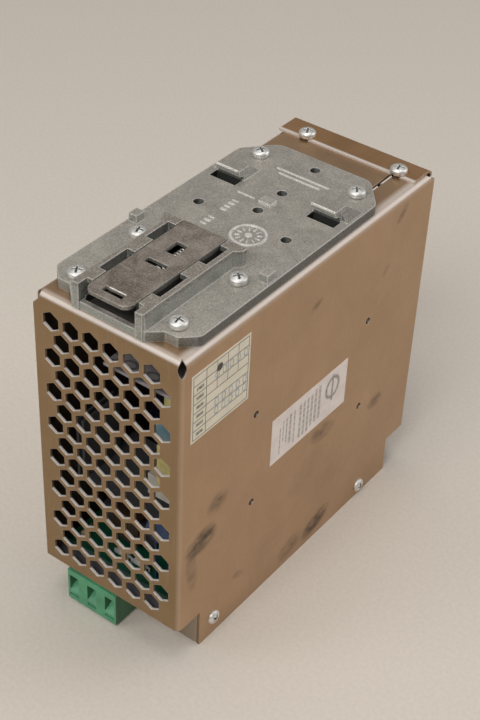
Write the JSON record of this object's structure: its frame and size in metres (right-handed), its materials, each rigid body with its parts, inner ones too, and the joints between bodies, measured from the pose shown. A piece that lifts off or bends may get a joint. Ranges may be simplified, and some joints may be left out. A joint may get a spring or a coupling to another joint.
{
  "type": "din rail power supply",
  "caption": "Sheet steel cased power supply with perforated ends, a die-cast sprung rail adapter on its rear face and pluggable terminal blocks.",
  "frame": {"origin": "centre of the overall box in X and Y, on the front face at the bottom", "axes": "+Z from the front face to the rail adapter, -Y towards the input end, +Y towards the output end, +X towards the side with the labels"},
  "size_m": [0.0584, 0.1312, 0.1305],
  "materials": {
    "galvanised_steel": "satin",
    "zinc_casting": "cast, satin",
    "slide_zinc": "cast, satin",
    "spring_steel": "satin",
    "plated_screws": "bright zinc",
    "plated_cages": "satin",
    "label_cream": "matte",
    "label_white": "matte",
    "label_front": "matte",
    "circuit_board": "matte",
    "brass_posts": "satin",
    "clear_film": "matte",
    "tinned_brass": "satin",
    "green_plug": "semi-gloss",
    "green_header": "semi-gloss",
    "ferrite": "matte",
    "dark_winding": "enamelled",
    "blue_epoxy": "gloss",
    "fuse_glass": "gloss",
    "bracket_metal": "satin",
    "film_yellow": "gloss",
    "ceramic_blue": "gloss",
    "sleeve_dark_blue": "gloss",
    "black_epoxy": "matte",
    "bobbin_plastic": "matte",
    "tape_yellow": "satin",
    "choke_copper": "enamelled",
    "trimmer_blue": "matte",
    "rotor_white": "matte",
    "lamp_green": "gloss"
  },
  "bodies": {
    "case": {"housing_shell": "galvanised_steel", "side_cover": "galvanised_steel", "far_end_plate": "galvanised_steel", "front_panel": "galvanised_steel", "front_label": "label_front", "rail_adapter": "zinc_casting", "latch_spring": "spring_steel", "adapter_screws": "plated_screws", "flange_screws": "plated_screws", "side_screws": "plated_screws", "table_label": "label_cream", "notice_label": "label_white", "main_board": "circuit_board", "board_standoffs": "brass_posts", "board_screws": "plated_screws", "insulation_sheet": "clear_film", "header_pins": "tinned_brass", "input_header": "green_header", "output_header": "green_header", "line_choke_core": "ferrite", "line_choke_windings": "dark_winding", "varistor": "blue_epoxy", "fuse": "fuse_glass", "fuse_clips": "tinned_brass", "filter_board": "circuit_board", "filter_bracket": "bracket_metal", "x_capacitors": "film_yellow", "y_capacitors": "ceramic_blue", "bulk_capacitors": "sleeve_dark_blue", "heatsinks": "bracket_metal", "power_semiconductors": "black_epoxy", "transformer_core": "ferrite", "transformer_bobbin": "bobbin_plastic", "transformer_winding": "tape_yellow", "output_choke": "choke_copper", "output_capacitors": "sleeve_dark_blue", "control_board": "circuit_board", "trim_pot": "trimmer_blue", "status_led": "lamp_green"},
    "latch": {"latch_slide": "slide_zinc"},
    "input_plug": {"input_plug": "green_plug", "input_contacts": "tinned_brass"},
    "output_plug": {"output_plug": "green_plug", "output_contacts": "tinned_brass"},
    "trim_rotor": {"trim_rotor": "rotor_white"},
    "input_screw_1": {"input_screw_1": "plated_screws"},
    "input_cage_1": {"input_cage_1": "plated_cages"},
    "input_screw_2": {"input_screw_2": "plated_screws"},
    "input_cage_2": {"input_cage_2": "plated_cages"},
    "input_screw_3": {"input_screw_3": "plated_screws"},
    "input_cage_3": {"input_cage_3": "plated_cages"},
    "output_screw_1": {"output_screw_1": "plated_screws"},
    "output_cage_1": {"output_cage_1": "plated_cages"},
    "output_screw_2": {"output_screw_2": "plated_screws"},
    "output_cage_2": {"output_cage_2": "plated_cages"},
    "output_screw_3": {"output_screw_3": "plated_screws"},
    "output_cage_3": {"output_cage_3": "plated_cages"},
    "output_screw_4": {"output_screw_4": "plated_screws"},
    "output_cage_4": {"output_cage_4": "plated_cages"}
  },
  "joints": [
    {"name": "latch_pull", "type": "slide", "parent": "case", "child": "latch", "axis": [0, -1, 0], "range_m": [0, 0.004], "stiffness_N_per_m": 3000, "springref_m": -0.0015, "deforming": ["latch_spring"]},
    {"name": "input_plug_pull", "type": "slide", "parent": "case", "child": "input_plug", "axis": [0, -1, 0], "range_m": [0, 0.02]},
    {"name": "output_plug_pull", "type": "slide", "parent": "case", "child": "output_plug", "axis": [0, 1, 0], "range_m": [0, 0.02]},
    {"name": "trim_turn", "type": "hinge", "parent": "case", "child": "trim_rotor", "pos_m": [0.017, 0.03, 0.009], "axis": [0, 0, 1], "range_deg": [-135, 135]},
    {"name": "input_screw_1_turn", "type": "hinge", "parent": "input_plug", "child": "input_screw_1", "pos_m": [-0.0155, -0.0585, 0.002], "axis": [0, 0, 1], "range_deg": [0, 1440]},
    {"name": "input_cage_1_lift", "type": "slide", "parent": "input_plug", "child": "input_cage_1", "axis": [0, 0, -1], "range_m": [0, 0.0018]},
    {"name": "input_screw_2_turn", "type": "hinge", "parent": "input_plug", "child": "input_screw_2", "pos_m": [-0.008, -0.0585, 0.002], "axis": [0, 0, 1], "range_deg": [0, 1440]},
    {"name": "input_cage_2_lift", "type": "slide", "parent": "input_plug", "child": "input_cage_2", "axis": [0, 0, -1], "range_m": [0, 0.0018]},
    {"name": "input_screw_3_turn", "type": "hinge", "parent": "input_plug", "child": "input_screw_3", "pos_m": [-0.0005, -0.0585, 0.002], "axis": [0, 0, 1], "range_deg": [0, 1440]},
    {"name": "input_cage_3_lift", "type": "slide", "parent": "input_plug", "child": "input_cage_3", "axis": [0, 0, -1], "range_m": [0, 0.0018]},
    {"name": "output_screw_1_turn", "type": "hinge", "parent": "output_plug", "child": "output_screw_1", "pos_m": [-0.0155, 0.0593, 0.002], "axis": [0, 0, 1], "range_deg": [0, 1440]},
    {"name": "output_cage_1_lift", "type": "slide", "parent": "output_plug", "child": "output_cage_1", "axis": [0, 0, -1], "range_m": [0, 0.0018]},
    {"name": "output_screw_2_turn", "type": "hinge", "parent": "output_plug", "child": "output_screw_2", "pos_m": [-0.008, 0.0593, 0.002], "axis": [0, 0, 1], "range_deg": [0, 1440]},
    {"name": "output_cage_2_lift", "type": "slide", "parent": "output_plug", "child": "output_cage_2", "axis": [0, 0, -1], "range_m": [0, 0.0018]},
    {"name": "output_screw_3_turn", "type": "hinge", "parent": "output_plug", "child": "output_screw_3", "pos_m": [-0.0005, 0.0593, 0.002], "axis": [0, 0, 1], "range_deg": [0, 1440]},
    {"name": "output_cage_3_lift", "type": "slide", "parent": "output_plug", "child": "output_cage_3", "axis": [0, 0, -1], "range_m": [0, 0.0018]},
    {"name": "output_screw_4_turn", "type": "hinge", "parent": "output_plug", "child": "output_screw_4", "pos_m": [0.007, 0.0593, 0.002], "axis": [0, 0, 1], "range_deg": [0, 1440]},
    {"name": "output_cage_4_lift", "type": "slide", "parent": "output_plug", "child": "output_cage_4", "axis": [0, 0, -1], "range_m": [0, 0.0018]}
  ],
  "couplings": [
    {"joint": "input_screw_1_turn", "follows": "input_cage_1_lift", "rad_per_m": 13960},
    {"joint": "input_screw_2_turn", "follows": "input_cage_2_lift", "rad_per_m": 13960},
    {"joint": "input_screw_3_turn", "follows": "input_cage_3_lift", "rad_per_m": 13960},
    {"joint": "output_screw_1_turn", "follows": "output_cage_1_lift", "rad_per_m": 13960},
    {"joint": "output_screw_2_turn", "follows": "output_cage_2_lift", "rad_per_m": 13960},
    {"joint": "output_screw_3_turn", "follows": "output_cage_3_lift", "rad_per_m": 13960},
    {"joint": "output_screw_4_turn", "follows": "output_cage_4_lift", "rad_per_m": 13960}
  ]
}
